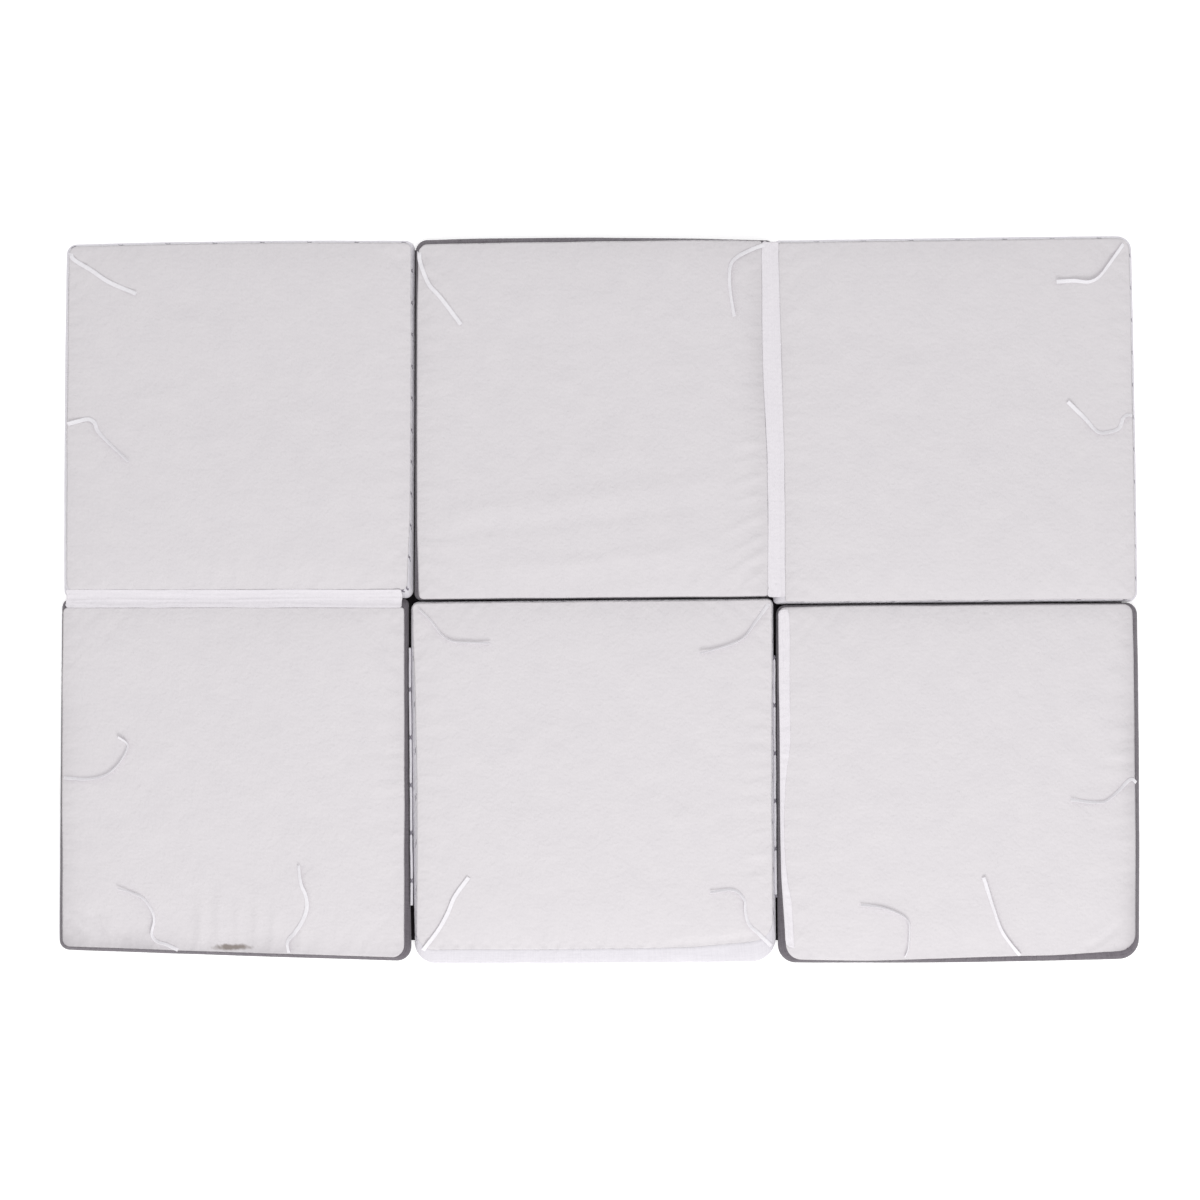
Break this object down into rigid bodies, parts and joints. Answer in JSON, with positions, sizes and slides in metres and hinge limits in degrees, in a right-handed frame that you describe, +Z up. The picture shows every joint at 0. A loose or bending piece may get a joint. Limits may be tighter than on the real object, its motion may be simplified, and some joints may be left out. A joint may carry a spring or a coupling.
{
  "type": "baby play mat",
  "caption": "Folding baby play mat of square foam-filled pads joined by cloth hinge strips, lying face down with tape ties on the back.",
  "frame": {"origin": "on the floor under the middle of the laid-out mat", "axes": "+X along the mat's length from pad 1 to pad 3, +Y across it from the lower to the upper row of pads, +Z up"},
  "size_m": [1.8019, 1.2085, 0.042],
  "materials": {
    "white_cotton": "plain-woven white cotton back panels, matt",
    "hinge_cotton": "bleached white cotton hinge strips, softly pleated",
    "tape_cotton": "narrow woven white cotton tape",
    "charcoal_cotton": "charcoal grey plain-woven cotton, matt",
    "print_cotton": "white cotton with small grey printed motifs, matt"
  },
  "bodies": {
    "root": {"pad_1": "print_cotton", "pad_2": "charcoal_cotton", "pad_3": "print_cotton", "pad_4": "charcoal_cotton", "pad_5": "print_cotton", "pad_6": "charcoal_cotton", "band_1": "print_cotton", "band_2": "charcoal_cotton", "band_3": "print_cotton", "band_4": "charcoal_cotton", "band_5": "print_cotton", "band_6": "charcoal_cotton", "back_1": "white_cotton", "back_2": "white_cotton", "back_3": "white_cotton", "back_4": "white_cotton", "back_5": "white_cotton", "back_6": "white_cotton", "hinge_1_4": "hinge_cotton", "hinge_2_3": "hinge_cotton", "edge_strip_6": "hinge_cotton", "joining_strip_4_5": "print_cotton", "joining_strip_5_6": "print_cotton", "tie_01": "tape_cotton", "tie_02": "tape_cotton", "tie_03": "tape_cotton", "tie_04": "tape_cotton", "tie_05": "tape_cotton", "tie_06": "tape_cotton", "tie_07": "tape_cotton", "tie_08": "tape_cotton", "tie_09": "tape_cotton", "tie_10": "tape_cotton", "tie_11": "tape_cotton", "tie_12": "tape_cotton", "tie_13": "tape_cotton", "tie_14": "tape_cotton", "tie_15": "tape_cotton", "tie_16": "tape_cotton"}
  },
  "joints": []
}
